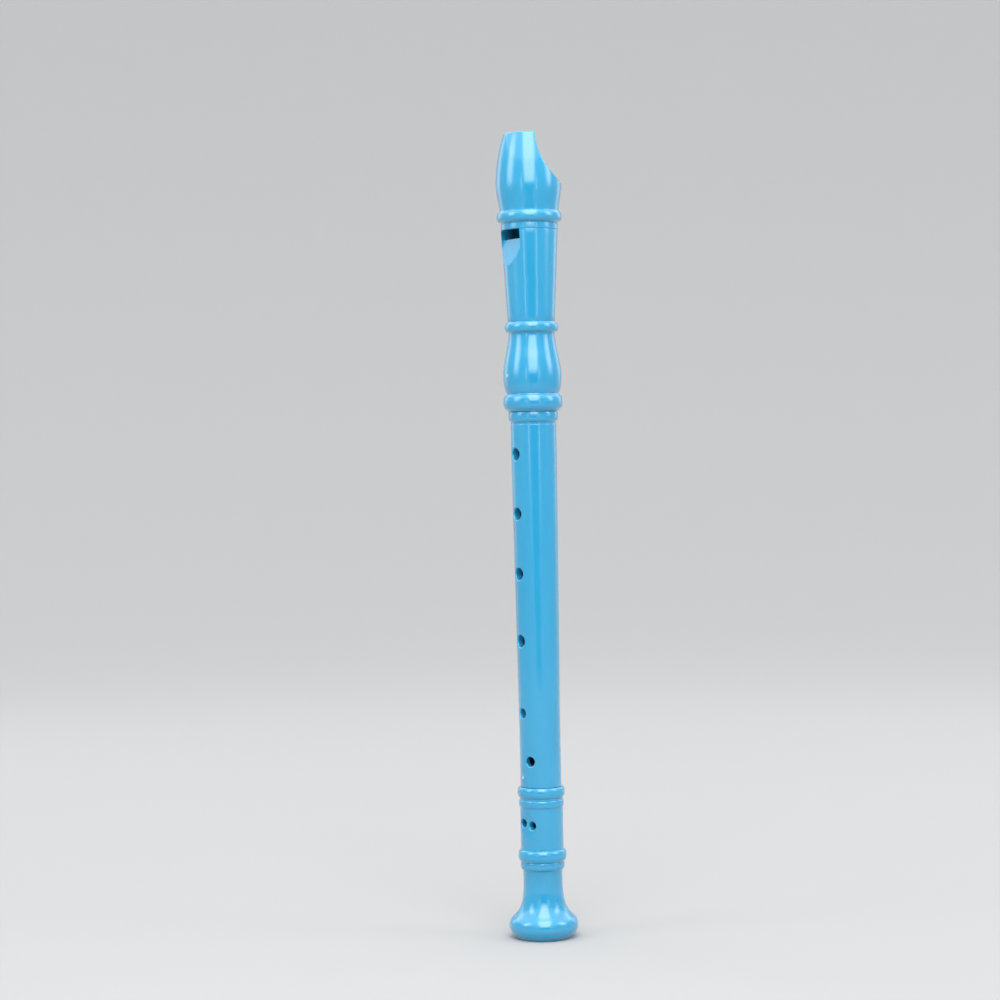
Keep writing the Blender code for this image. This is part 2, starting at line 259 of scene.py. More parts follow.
class Tube(Skin):
    """Closed skin round the bore. Its rows go up the outside and down the inside."""

    def __init__(self, outline, angles, shape=None):
        super().__init__()
        self.radius, self.height = np.array(outline).T
        self.angles = angles
        self.shape = shape
        radius = np.repeat(self.radius[:, None], len(angles), axis=1)
        if shape:
            outside = slice(0, int(np.argmax(self.height)) + 1)
            radius[outside] = shape(radius[outside], angles[None, :], self.height[outside, None])
        self.numbers = self.add(polar(radius, angles[None, :], self.height[:, None]))
        self.kept = np.ones(radius.shape, bool)

    def drill(self, height, diameter, angle, low_z, high_z, first_angle, last_angle, axis=None, fillet=0.5):
        """Hole along the axis angle, in the patch of skin between two heights and two angles."""
        axis = math.radians(angle if axis is None else axis)
        outer_rows, inner_rows = self.rows_between(low_z, high_z)
        columns = self.columns_between(first_angle, last_angle)
        self.kept[np.ix_(outer_rows[:-1], columns[:-1])] = False
        self.kept[np.ix_(inner_rows[::-1][:-1], columns[:-1])] = False
        outer = OuterPatch(self, outer_rows, columns, axis)
        inner = OuterPatch(self, inner_rows, columns, axis)

        side = np.interp(height, self.height[outer_rows], self.radius[outer_rows])
        side *= math.sin(math.radians(angle) - axis)
        turn = np.arctan2(outer.up - height, outer.across - side)
        radius = diameter / 2

        def circle(reach):
            return side + reach * np.cos(turn), height + reach * np.sin(turn)

        rings = [outer.edge]
        rings += outer.rings_to(*circle(radius + fillet))
        inward = polar(1.0, axis, 0.0) * -1
        for step in range(1, 5):
            share = math.radians(90) * step / 4
            surface = outer.point(*circle(radius + fillet * (1 - math.sin(share))))
            rings.append(self.add(surface + inward * fillet * (1 - math.cos(share))))
        rim = self.point_rows(rings[-1])
        mouth = inner.point(*circle(radius))
        for step in range(1, 4):
            rings.append(self.add(between(rim, mouth, step / 3)))
        rings += inner.rings_from(*circle(radius))
        rings.append(inner.edge)
        for first, second in zip(rings, rings[1:]):
            self.join(first, second)

    def point_rows(self, numbers):
        return np.concatenate(self.points)[numbers]

    def rows_between(self, low_z, high_z):
        """Rows of the outside and of the inside from low_z up to high_z."""
        top = int(np.argmax(self.height))
        fits = (self.height > low_z - 1e-6) & (self.height < high_z + 1e-6)
        rows = np.flatnonzero(fits)
        return rows[rows <= top], rows[rows > top][::-1]

    def columns_between(self, first_angle, last_angle):
        first = int(np.argmin(np.abs(self.angles - math.radians(first_angle))))
        last = int(np.argmin(np.abs(self.angles - math.radians(last_angle))))
        return np.arange(first, last + 1)

    def close(self):
        """Faces everywhere but in the patches that the holes took."""
        following = np.roll(self.numbers, -1, axis=0)
        for row, next_row, kept in zip(self.numbers, following, self.kept):
            self.join(row, next_row, keep=kept)


class OuterPatch:
    """Part of a tube's skin that a hole goes through, in coordinates across the hole's axis and up."""

    RINGS = 7

    def __init__(self, tube, rows, columns, axis):
        self.tube = tube
        self.axis = axis
        self.heights = tube.height[rows]
        self.radii = tube.radius[rows]
        self.shape = tube.shape if rows[0] <= int(np.argmax(tube.height)) else None
        block = tube.numbers[np.ix_(rows, columns)]
        self.edge = np.concatenate([block[0, :-1], block[:-1, -1], block[-1, :0:-1], block[:0:-1, 0]])
        corners = tube.point_rows(self.edge)
        self.across = corners[:, 0] * math.cos(axis) + corners[:, 1] * math.sin(axis)
        self.up = corners[:, 2]

    def point(self, across, up):
        """Points of the skin at a distance across the axis and at a height."""
        plain = np.interp(up, self.heights, self.radii)
        radius = plain
        for _ in range(6):
            angle = self.axis + np.arcsin(np.clip(across / radius, -1, 1))
            if self.shape is None:
                break
            radius = self.shape(plain, angle, up)
        return polar(radius, angle, up)

    def rings_to(self, across, up):
        """Rings of new points from the patch's edge to the hole."""
        rings = []
        for step in range(1, self.RINGS + 1):
            share = 1 - (1 - step / self.RINGS) ** 1.4
            ring = self.point(between(self.across, across, share), between(self.up, up, share))
            rings.append(self.tube.add(ring))
        return rings

    def rings_from(self, across, up):
        return self.rings_to(across, up)[-2::-1]


def add_gate_mark(skin, radius, height, angle, mark_radius=0.85, rise=0.16):
    """Low round button on a tube's outside, sunk a little into it."""
    turn = np.linspace(0, math.tau, 24, endpoint=False)
    across, up = np.cos(turn), np.sin(turn)
    profile = [(1.0, -0.3), (1.0, 0.3), (0.97, 0.65), (0.9, 0.9), (0.78, 1.0), (0.4, 1.0)]
    rings = []
    for share, lift in profile:
        angles = math.radians(angle) + mark_radius * share * across / radius
        rings.append(skin.add(polar(radius + rise * lift, angles, height + mark_radius * share * up)))
    for first, second in zip(rings, rings[1:]):
        skin.join(first, second)
    skin.faces += [rings[0].tolist(), rings[-1].tolist()]


def lofted(name, low_section, low_z, high_section, high_z):
    """Solid between two outlines in X and Y that have the same number of corners."""
    skin = Skin()
    low = skin.add([(x, y, low_z) for x, y in low_section])
    high = skin.add([(x, y, high_z) for x, y in high_section])
    skin.join(low, high)
    skin.faces += [low.tolist(), high.tolist()]
    return skin.build(name)


def rod_along_x(name, y, z, radius, half_length, steps):
    skin = Skin()
    angle = np.linspace(0, math.tau, steps, endpoint=False)
    ends = []
    for x in (-half_length, half_length):
        ring = [np.full(steps, x), y + radius * np.cos(angle), z + radius * np.sin(angle)]
        ends.append(skin.add(np.stack(ring, axis=-1)))
    skin.join(*ends)
    skin.faces += [ends[0].tolist(), ends[1].tolist()]
    return skin.build(name)


def carve(piece, *cutters):
    """Takes the cutters' space out of the piece, and removes the cutters."""
    for cutter in cutters:
        boolean = piece.modifiers.new(cutter.name, "BOOLEAN")
        boolean.operation = "DIFFERENCE"
        boolean.solver = "EXACT"
        boolean.object = cutter
    graph = bpy.context.evaluated_depsgraph_get()
    carved = bpy.data.meshes.new_from_object(piece.evaluated_get(graph))
    piece.modifiers.clear()
    piece.data = carved
    for cutter in cutters:
        bpy.data.objects.remove(cutter, do_unlink=True)


# The beak.

def beak_outline():
    widest = (BEAK_RADIUS, 281.0)
    bottom = HEAD_SEAM_Z + PRESSED_GAP
    outline = [(10.6, bottom), (10.75, bottom + 0.2), (10.75, 265.9), (10.55, 266.2)]
    outline += bead(266.5, 270.8, 10.65, 12.3, steps=24, top_base=11.1)[:-1]
    outline += curve((11.1, 270.8), (11.45, 274.5), (BEAK_RADIUS, 277.6), widest)
    outline += curve(widest, (BEAK_RADIUS, 287.5), (10.9, 294.5), (9.1, TIP_Z), steps=20)
    return soften(outline + [(9.1, TIP_Z)], radius=0.15, closed=False)


def beak_rows(tip_fillet=0.75):
    """Radius, height and inset of each row of the beak's skin."""
    radii, heights = np.array(beak_outline()).T
    plain = BEAK_CUT_Z - BEAK_CUT_RADIUS
    rows = [(radius, height, 0.0) for radius, height in zip(radii, heights) if height < plain]
    top = TIP_Z - tip_fillet
    for degrees in np.arange(0.6, 120, 1.3):
        height = BEAK_CUT_Z - BEAK_CUT_RADIUS * math.cos(math.radians(degrees))
        if height < top - 0.1:
            rows.append((np.interp(height, heights, radii), height, 0.0))
    for step in range(7):
        angle = math.radians(90) * step / 6
        height = top + tip_fillet * math.sin(angle)
        rows.append((np.interp(height, heights, radii), height, tip_fillet * (1 - math.cos(angle))))
    return rows


def beak_section(radius, height, inset, angles):
    """Round section with its back cut off straight where the beak is hollowed."""
    towards_front = BEAK_CENTRE_Y * np.cos(angles)
    reach = towards_front + np.sqrt(towards_front**2 + radius**2 - BEAK_CENTRE_Y**2)
    below = BEAK_CUT_RADIUS**2 - (height - BEAK_CUT_Z) ** 2
    if below > 0:
        cut_y = BEAK_CUT_Y - math.sqrt(below)
        backwards = np.maximum(-np.cos(angles), 1e-4)
        reach = smooth_minimum(reach, (cut_y - BEAK_CENTRE_Y) / backwards, 0.9)
    section = polar(reach - inset, angles, height)
    section[:, 1] += BEAK_CENTRE_Y
    return section


def windway_at(z):
    """Half width, floor and roof of the windway at the height z."""
    share = (z - HEAD_SEAM_Z) / (TIP_Z - HEAD_SEAM_Z)
    half_width = between(WINDWAY_EXIT_HALF_WIDTH, WINDWAY_TIP_HALF_WIDTH, share)
    floor = between(WINDWAY_EXIT_FLOOR, WINDWAY_TIP_FLOOR, share)
    roof = between(WINDWAY_EXIT_ROOF, WINDWAY_TIP_ROOF, share)
    return half_width, floor, roof


def flatted_circle(radius, flat, steps=96):
    """Circle round the axis, cut off straight at y = -flat."""
    reach = math.asin(flat / radius)
    angles = np.linspace(-reach, math.pi + reach, steps + 1)
    return [(radius * math.cos(angle), radius * math.sin(angle)) for angle in angles]


def keyed_section(radius, flat, key_half_width, key_front):
    """Flatted circle with a rectangular key that stands out of its flat to y = -key_front."""
    key = [(-key_half_width, -flat), (-key_half_width, -key_front)]
    return flatted_circle(radius, flat) + key + [(-x, y) for x, y in reversed(key)]


def make_mouthpiece():
    angles = np.linspace(0, math.tau, 216, endpoint=False)
    skin = Skin()
    rings = [skin.add(beak_section(*row, angles)) for row in beak_rows()]
    for first, second in zip(rings, rings[1:]):
        skin.join(first, second)
    skin.faces += [rings[0].tolist(), rings[-1].tolist()]
    piece = skin.build("beak")

    low, high = BEAK_BOTTOM_Z - 1, TIP_Z + 1
    sections = []
    for z in (low, high):
        half_width, _, roof = windway_at(z)
        sections += [keyed_section(HEAD_BORE_RADIUS, KEY_FLAT, half_width, roof), z]
    skirt = flatted_circle(UPPER_TENON_RADIUS + CLEARANCE, KEY_FLAT)
    carve(
        piece,
        lofted("windway_and_block_space", *sections),
        lofted("skirt_space", skirt, low, skirt, UPPER_TENON_TOP_Z + CLEARANCE),
    )
    return piece


def make_fipple_block():
    sections = []
    for z in (BEAK_BOTTOM_Z, TIP_Z):
        half_width, floor, _ = windway_at(z)
        radius, flat = HEAD_BORE_RADIUS - CLEARANCE, KEY_FLAT - CLEARANCE
        sections += [keyed_section(radius, flat, half_width - CLEARANCE, floor), z]
    piece = lofted("block", *sections)
    carve(piece, rod_along_x("hollow", BEAK_CUT_Y, BEAK_CUT_Z, BEAK_CUT_RADIUS, 3 * BEAK_RADIUS, 400))
    return piece


# The head joint, whose rows carry the labium's ramp and the window.

FRONT_STEPS = 24
BACK_STEPS = 132
SMALLEST_FRONT = 1.0
USUAL_FRONT = math.radians(30)


def ramp_depth(z):
    slope = (LABIUM_RAMP_END_Y - LABIUM_EDGE_Y) / (LABIUM_EDGE_Z - LABIUM_RAMP_END_Z)
    return LABIUM_EDGE_Y + slope * (LABIUM_EDGE_Z - z)


def undercut_depth(z):
    slope = (LABIUM_UNDERCUT_Y - KEY_FLAT) / (LABIUM_EDGE_Z - LABIUM_UNDERCUT_END_Z)
    return KEY_FLAT + slope * (z - LABIUM_UNDERCUT_END_Z)


def front_half_width(radius, z, narrow):
    """Half the width of the stretch of a row that lies on the labium's ramp or undercut."""
    usual = radius * math.sin(USUAL_FRONT)
    blend_from, blend_to = 244.0, 250.3
    share = min(max((z - blend_from) / (blend_to - blend_from), 0), 1)
    return between(usual, narrow, share)


def head_row(radius, z, half_width, depth):
    """One row of the head: a front stretch in X, then the rest of the circle."""
    x = np.linspace(-half_width, half_width, FRONT_STEPS + 1)
    front = np.stack([x, -depth(np.sqrt(radius**2 - x**2)), np.full_like(x, z)], axis=-1)
    start = math.asin(half_width / radius)
    back = polar(radius, np.linspace(start, math.tau - start, BACK_STEPS + 1), z)
    return np.concatenate([front, back])


def outer_head_row(radius, z):
    floor = ramp_depth(z)
    chord = math.sqrt(max(radius**2 - floor**2, 0))
    narrow = min(max(chord, SMALLEST_FRONT), WINDOW_HALF_WIDTH)
    half_width = front_half_width(radius, z, narrow)
    return head_row(radius, z, half_width, lambda circle: np.minimum(circle, floor))


def inner_head_row(radius, z):
    floor = undercut_depth(min(z, LABIUM_EDGE_Z))
    half_width = front_half_width(radius, z, WINDOW_HALF_WIDTH)
    return head_row(radius, z, half_width, lambda circle: np.maximum(circle, floor))


def head_outline():
    """Outside of the head, from the socket's mouth up to the labium's edge."""
    bottom = MIDDLE_SEAM_Z + SEAM_GAP
    bulb = (BULB_RADIUS, 209.5)
    bulb_top = (8.7, 225.0)
    outline = [(MIDDLE_TENON_RADIUS + CLEARANCE, bottom), (9.8, bottom)]
    outline += bead(196.8, 202.5, 9.9, 11.2, steps=24)
    outline += curve((9.75, 202.8), (10.1, 203.3), (BULB_RADIUS, 205.5), bulb)
    outline += curve(bulb, (BULB_RADIUS, 215.0), (9.0, 219.5), bulb_top, steps=20)
    outline += [bulb_top]
    outline += bead(225.6, 229.6, 8.8, 10.1, steps=20)
    outline += [(HEAD_TUBE_BOTTOM_RADIUS, HEAD_TUBE_FROM_Z)]
    outline = soften(outline, closed=False)
    heights = np.concatenate([np.arange(232, 249, 2.0), np.arange(249, LABIUM_EDGE_Z - 0.1, 0.3)])
    for z in [*heights, LABIUM_EDGE_Z]:
        share = (z - HEAD_TUBE_FROM_Z) / (HEAD_SEAM_Z - HEAD_TUBE_FROM_Z)
        outline.append((between(HEAD_TUBE_BOTTOM_RADIUS, HEAD_TUBE_TOP_RADIUS, share), z))
    return outline


def make_head_joint():
    outside = head_outline()
    labium_row = len(outside) - 1
    top_edge = soften(
        [(10.6, LABIUM_EDGE_Z + 1.5), (HEAD_TUBE_TOP_RADIUS, HEAD_SEAM_Z), (UPPER_TENON_RADIUS, HEAD_SEAM_Z)],
        closed=False,
    )
    tenon = [
        (UPPER_TENON_RADIUS, UPPER_TENON_TOP_Z - 0.5),
        (UPPER_TENON_RADIUS - 0.4, UPPER_TENON_TOP_Z),
        (HEAD_BORE_RADIUS, UPPER_TENON_TOP_Z),
    ]
    socket_radius = MIDDLE_TENON_RADIUS + CLEARANCE
    socket_floor = MIDDLE_TENON_TOP_Z + SOCKET_FLOOR_GAP
    inside = [(HEAD_BORE_RADIUS, z) for z in (HEAD_SEAM_Z, *np.arange(LABIUM_EDGE_Z, 243, -0.8))]
    below = [
        (HEAD_BORE_RADIUS, socket_floor),
        (socket_radius, socket_floor),
        (socket_radius, HEAD_BOTTOM_Z + 0.1),
    ]

    keyed = math.radians(66)
    rows = [outer_head_row(*row) for row in outside + top_edge]
    for radius, z in tenon:
        row = inner_head_row(radius, z)
        angle = np.arctan2(row[:, 0], -row[:, 1])
        row[np.abs(angle) < keyed, 2] = HEAD_SEAM_Z
        rows.append(row)
    undercut_row = len(rows) + 1
    rows += [inner_head_row(*row) for row in inside + below]

    skin = Skin()
    numbers = skin.add(np.stack(rows))
    columns = numbers.shape[1]
    right, left = FRONT_STEPS + 1, columns - 1
    window_columns = np.r_[0:right, left]
    kept = np.ones(numbers.shape, bool)
    kept[labium_row:undercut_row, window_columns] = False
    for i, row in enumerate(numbers):
        skin.join(row, numbers[(i + 1) % len(numbers)], keep=kept[i])
    edge = slice(0, FRONT_STEPS + 1)
    skin.join(numbers[labium_row, edge], numbers[undercut_row, edge], closed=False)
    for wall, corner in ((right, FRONT_STEPS), (left, 0)):
        side = numbers[labium_row:undercut_row + 1, wall].tolist()
        skin.faces.append(side + [int(numbers[undercut_row, corner]), int(numbers[labium_row, corner])])
    add_gate_mark(skin, BULB_RADIUS, *HEAD_GATE)
    return skin.build("head")


# The middle joint and the foot.

def even_angles(steps, phase=0.0):
    """Angles from about -90 to 270 degrees, so that neither the front nor the back is at the seam."""
    return np.radians(-90 + phase) + np.arange(steps) * math.tau / steps


def hole_patch(height, half_height, steps=20):
    return np.linspace(height - half_height, height + half_height, steps + 1)


def middle_radius(z):
    share = min(max((z - TUBE_TAPER_FROM_Z) / (TUBE_TAPER_TO_Z - TUBE_TAPER_FROM_Z), 0), 1)
    return between(TUBE_BOTTOM_RADIUS, TUBE_TOP_RADIUS, share)


def middle_bore(z):
    share = (z - LOWER_TENON_BOTTOM_Z) / (MIDDLE_TENON_TOP_Z - LOWER_TENON_BOTTOM_Z)
    return between(MIDDLE_BORE_BOTTOM_RADIUS, MIDDLE_BORE_TOP_RADIUS, share)


def make_middle_joint():
    shoulder = FOOT_SEAM_Z + SEAM_GAP
    half_height = 4.0
    holes = [*FINGER_HOLES, THUMB_HOLE]
    heights = np.concatenate([hole_patch(hole[0], half_height) for hole in holes])
    for z in np.arange(58, 190.5, 3):
        if all(abs(z - hole[0]) > half_height + 0.5 for hole in holes):
            heights = np.append(heights, z)
    heights = np.unique(np.round(heights, 5))
    start = soften([
        (MIDDLE_BORE_BOTTOM_RADIUS, LOWER_TENON_BOTTOM_Z),
        (LOWER_TENON_RADIUS, LOWER_TENON_BOTTOM_Z),
        (LOWER_TENON_RADIUS, shoulder),
        (TUBE_BOTTOM_RADIUS, shoulder),
        (TUBE_BOTTOM_RADIUS, shoulder + 1),
    ], closed=False)
    end = [(TUBE_TOP_RADIUS, 190.9), (TUBE_TOP_RADIUS, 191.2), (8.5, 191.3)]
    end += bead(192.3, MIDDLE_SEAM_Z, 8.5, 9.35, steps=20, top_base=9.0)
    end += [
        (MIDDLE_TENON_RADIUS, MIDDLE_SEAM_Z),
        (MIDDLE_TENON_RADIUS, MIDDLE_TENON_TOP_Z),
        (MIDDLE_BORE_TOP_RADIUS, MIDDLE_TENON_TOP_Z),
    ]
    outline = start + [(middle_radius(z), z) for z in heights] + soften(end, radius=0.12, closed=False)
    outline += [(middle_bore(z), z) for z in heights[::-1]]
    tube = Tube(outline, even_angles(128))
    for height, diameter, angle in holes:
        nearest = round(angle / 2.8125) * 2.8125
        half_angle = 28.125
        tube.drill(
            height, diameter, angle,
            height - half_height, height + half_height, nearest - half_angle, nearest + half_angle,
        )
    tube.close()
    add_gate_mark(tube, middle_radius(MIDDLE_GATE[0]), *MIDDLE_GATE)
    return tube.build("middle")


def finger_dish(radius, angle, height):
    """Shallow hollow that leads the little finger to the foot's two holes."""
    away = np.clip(np.abs(height - FINGER_DISH_Z), 0, FINGER_DISH_CURVE_RADIUS)
    distance = FOOT_BARREL_RADIUS - FINGER_DISH_DEPTH + FINGER_DISH_CURVE_RADIUS
    depth = distance - np.sqrt(FINGER_DISH_CURVE_RADIUS**2 - away**2)
    facing = np.cos(angle - math.radians(FINGER_DISH_ANGLE))
    floor = np.where(facing > 0.3, depth / np.maximum(facing, 0.3), 99.0)
    return np.where(np.abs(height - FINGER_DISH_Z) < 7, smooth_minimum(radius, floor, 0.8), radius)


def bell_outline():
    """From the rim on the floor, over the rounded lip, up to the waist."""
    widest = (BELL_RADIUS, 4.2)
    shoulder = (11.4, 8.0)
    waist = (WAIST_RADIUS, 19.0)
    points = curve((BELL_RIM_RADIUS, 0), (11.2, 0.8), (12.9, 2.3), widest)
    points += curve(widest, (BELL_RADIUS, 5.9), (12.6, 6.9), shoulder)
    points += curve(shoulder, (9.5, 9.8), (7.7, 11.3), waist, steps=20)
    return points + [waist]


def make_foot_joint():
    socket_radius = LOWER_TENON_RADIUS + CLEARANCE
    socket_floor = LOWER_TENON_BOTTOM_Z - SOCKET_FLOOR_GAP
    patch_low, patch_high = 39.6, 46.2
    patch = np.linspace(patch_low, patch_high, 21)
    outline = [(BELL_MOUTH_RADIUS, 0)]
    outline += bell_outline()
    outline += [(WAIST_RADIUS, 24.8)]
    outline += bead(25.4, 28.2, 7.6, 8.3, top_base=8.1)
    outline += bead(28.5, 32.8, 8.15, 9.05, steps=20)
    outline += [(FOOT_BARREL_RADIUS, 33.4)]
    outline = soften(outline, radius=0.12, closed=False)
    below, above = np.arange(37.0, patch_low, 0.3), np.arange(46.5, 48.3, 0.3)
    outline += [(FOOT_BARREL_RADIUS, z) for z in (34.5, 36.0, *below, *patch, *above)]
    top = [(FOOT_BARREL_RADIUS, 48.4)]
    top += bead(48.7, 51.4, 8.1, 8.45)
    top += bead(52.3, FOOT_SEAM_Z, 8.1, 8.9, steps=20)
    top += [(socket_radius, FOOT_SEAM_Z), (socket_radius, socket_floor), (FOOT_BORE_RADIUS, socket_floor)]
    outline += soften(top, radius=0.12, closed=False)
    outline += [(FOOT_BORE_RADIUS, z) for z in patch[::-1]]
    flare_top = (FOOT_BORE_RADIUS, 16.0)
    outline += curve(flare_top, (5.3, 9.0), (6.2, 3.5), (BELL_MOUTH_RADIUS, 0))
    column = 2.25
    tube = Tube(outline, even_angles(160), shape=finger_dish)
    for height, diameter, aside in FOOT_HOLES:
        angle = FINGER_DISH_ANGLE + math.degrees(math.asin(aside / FOOT_BARREL_RADIUS))
        far = FINGER_DISH_ANGLE + math.copysign(24 * column, aside)
        first, last = sorted((FINGER_DISH_ANGLE, far))
        tube.drill(height, diameter, angle, patch_low, patch_high, first, last, axis=FINGER_DISH_ANGLE)
    tube.close()
    return tube.build("foot")


# Materials.

DEEP_COLOUR = (0.0195, 0.296, 0.528)
LIGHT_COLOUR = (0.026, 0.323, 0.561)
# Paler colour painted on each gate mark: a painted highlight that stands in for the glint on its small
# button.
GATE_HIGHLIGHT_COLOUR = (0.30, 0.56, 0.70)
PLASTIC_ROUGHNESS = 0.14
NEAR_FLOOR_COLOUR = (0.40, 0.405, 0.41)
FAR_FLOOR_COLOUR = (0.52, 0.525, 0.53)
CLOTH_COLOUR = (0.02, 0.02, 0.022)


def link(tree, output, target):
    tree.links.new(output, target)


def calculate(tree, operation, first, second=None):
    """Maths node of an output with another output, or with a plain number."""
    node = tree.nodes.new("ShaderNodeMath")
    node.operation = operation
    link(tree, first, node.inputs[0])
    if isinstance(second, float):
        node.inputs[1].default_value = second
    elif second is not None:
        link(tree, second, node.inputs[1])
    return node.outputs["Value"]


def calculate_vector(tree, operation, vector, constant):
    """Vector maths node of an output with a constant vector, which gives a number."""
    node = tree.nodes.new("ShaderNodeVectorMath")
    node.operation = operation
    node.inputs[1].default_value = constant
    link(tree, vector, node.inputs[0])
    return node.outputs["Value"]


def smooth_step(tree, value, start, end):
    """0 where the value is start, rising smoothly to 1 where it is end."""
    node = tree.nodes.new("ShaderNodeMapRange")
    node.interpolation_type = "SMOOTHSTEP"
    node.inputs["From Min"].default_value = start
    node.inputs["From Max"].default_value = end
    link(tree, value, node.inputs["Value"])
    return node.outputs["Result"]


def paint_over(tree, colour, share, other):
    """The colour, with a plain other colour over it where the share is 1."""
    node = tree.nodes.new("ShaderNodeMix")
    node.data_type = "RGBA"
    node.inputs["B"].default_value = (*other, 1)
    link(tree, colour, node.inputs["A"])
    link(tree, share, node.inputs["Factor"])
    return node.outputs["Result"]


def noise(tree, coordinates, scale, detail=2.0, stretch=(1, 1, 1)):
    """Noise whose grain is in grains a metre, stretched along the axes."""
    mapping = tree.nodes.new("ShaderNodeMapping")
    mapping.inputs["Scale"].default_value = stretch
    link(tree, coordinates, mapping.inputs["Vector"])
    texture = tree.nodes.new("ShaderNodeTexNoise")
    texture.inputs["Scale"].default_value = scale
    texture.inputs["Detail"].default_value = detail
    link(tree, mapping.outputs["Vector"], texture.inputs["Vector"])
    return texture.outputs["Fac"]


def ramp(tree, value, low, high, low_colour, high_colour):
    node = tree.nodes.new("ShaderNodeMapRange")
    node.inputs["From Min"].default_value = low
    node.inputs["From Max"].default_value = high
    link(tree, value, node.inputs["Value"])
    mix = tree.nodes.new("ShaderNodeMix")
    mix.data_type = "RGBA"
    mix.inputs["A"].default_value = (*low_colour, 1)
    mix.inputs["B"].default_value = (*high_colour, 1)
    link(tree, node.outputs["Result"], mix.inputs["Factor"])
    return mix.outputs["Result"]


def spread(tree, value, low, high):
    """The value 0 to 1 spread from low to high."""
    node = tree.nodes.new("ShaderNodeMapRange")
    node.inputs["To Min"].default_value = low
    node.inputs["To Max"].default_value = high
    link(tree, value, node.inputs["Value"])
    return node.outputs["Result"]


def bump(tree, height, distance, strength, below=None):
    node = tree.nodes.new("ShaderNodeBump")
    node.inputs["Strength"].default_value = strength
    node.inputs["Distance"].default_value = distance
    link(tree, height, node.inputs["Height"])
    if below is not None:
        link(tree, below, node.inputs["Normal"])
    return node.outputs["Normal"]


def parting_line(tree, place):
    """Fine ridge down both sides, where the two halves of the mould met: 1 on it and 0 beside it."""
    split = tree.nodes.new("ShaderNodeSeparateXYZ")
    link(tree, place, split.inputs["Vector"])
    away = calculate(tree, "ABSOLUTE", split.outputs["Y"])
    return smooth_step(tree, away, 0.22 * MM, 0.05 * MM)


def gate_highlight_share(tree, place, gate):
    """Share of the painted highlight on a gate mark: 1 at the place where the plastic came into the mould,
    and 0 from a millimetre away.
    """
    distance = calculate_vector(tree, "DISTANCE", place, gate)
    return smooth_step(tree, distance, 0.95 * MM, 0.45 * MM)


def gate_place(radius, height, angle):
    """Where a gate mark is, in metres."""
    return (polar(radius, math.radians(angle), height) * MM).tolist()


def moulded_plastic(name, gate=None):
    """Glossy moulded plastic: pigment that varies a little, sink waves, orange peel and fine rubbing, and a
    painted highlight on the gate mark when a gate is given.
    """
    material = bpy.data.materials.new(name)
    material.use_nodes = True
    tree = material.node_tree
    shader = tree.nodes["Principled BSDF"]
    place = tree.nodes.new("ShaderNodeTexCoord").outputs["Object"]

    flow = noise(tree, place, 60, detail=3, stretch=(1, 1, 0.35))
    colour = ramp(tree, flow, 0.3, 0.7, DEEP_COLOUR, LIGHT_COLOUR)
    # Paler dot painted over the gate mark: a painted highlight for the glint on the button, not a colour of
    # the plastic.
    if gate:
        colour = paint_over(tree, colour, gate_highlight_share(tree, place, gate), GATE_HIGHLIGHT_COLOUR)
    link(tree, colour, shader.inputs["Base Color"])

    rubbing = noise(tree, place, 500, detail=4, stretch=(3, 3, 0.5))
    smoothest, roughest = 0.7 * PLASTIC_ROUGHNESS, 1.4 * PLASTIC_ROUGHNESS
    link(tree, spread(tree, rubbing, smoothest, roughest), shader.inputs["Roughness"])

    waves = bump(tree, noise(tree, place, 110, detail=1), 0.00012, 0.5)
    peel = bump(tree, noise(tree, place, 1400, detail=2), 0.000006, 0.5, below=waves)
    link(tree, bump(tree, parting_line(tree, place), 0.00003, 0.6, below=peel), shader.inputs["Normal"])

    shader.inputs["IOR"].default_value = 1.49
    shader.inputs["Subsurface Weight"].default_value = 0.12
    shader.inputs["Subsurface Radius"].default_value = (0.4, 0.9, 1.2)
    shader.inputs["Subsurface Scale"].default_value = 0.0012
    shader.inputs["Coat Weight"].default_value = 1.0
    shader.inputs["Coat Roughness"].default_value = 0.06
    return material


def matte(name, colour):
    material = bpy.data.materials.new(name)
    material.use_nodes = True
    tree = material.node_tree
    shader = tree.nodes["Principled BSDF"]
    place = tree.nodes.new("ShaderNodeTexCoord").outputs["Object"]
    paler = tuple(min(part * 1.03, 1) for part in colour)
    link(tree, ramp(tree, noise(tree, place, 3), 0.3, 0.7, colour, paler), shader.inputs["Base Color"])
    shader.inputs["Roughness"].default_value = 0.9
    shader.inputs["Specular IOR Level"].default_value = 0.2
    return material


def pale_floor():
    """Matte paper, darker under the lamps before the recorder and paler behind it, which evens the light."""
    material = matte("pale_floor", NEAR_FLOOR_COLOUR)
    tree = material.node_tree
    shader = tree.nodes["Principled BSDF"]
    near_colour = shader.inputs["Base Color"].links[0].from_socket
    place = tree.nodes.new("ShaderNodeTexCoord").outputs["Object"]
    behind = calculate_vector(tree, "DOT_PRODUCT", place, around(180, 0, 1, Vector()))
    far = smooth_step(tree, behind, -0.2, 0.9)
    link(tree, paint_over(tree, near_colour, far, FAR_FLOOR_COLOUR), shader.inputs["Base Color"])
    return material


def finish_piece(piece, node, body, material):
    piece.data.materials.append(material)
    piece.data.shade_smooth()
    piece.data.set_sharp_from_angle(angle=math.radians(32))
    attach(piece, body)
    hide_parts(node)


# Studio.

def around(azimuth, elevation, distance, target):
    """Point at a distance from the target, at an azimuth counted from the camera's."""
    turn, lift = math.radians(CAMERA_AZIMUTH + azimuth), math.radians(elevation)
    away = Vector((math.sin(turn) * math.cos(lift), -math.cos(turn) * math.cos(lift), math.sin(lift)))
    return target + away * distance


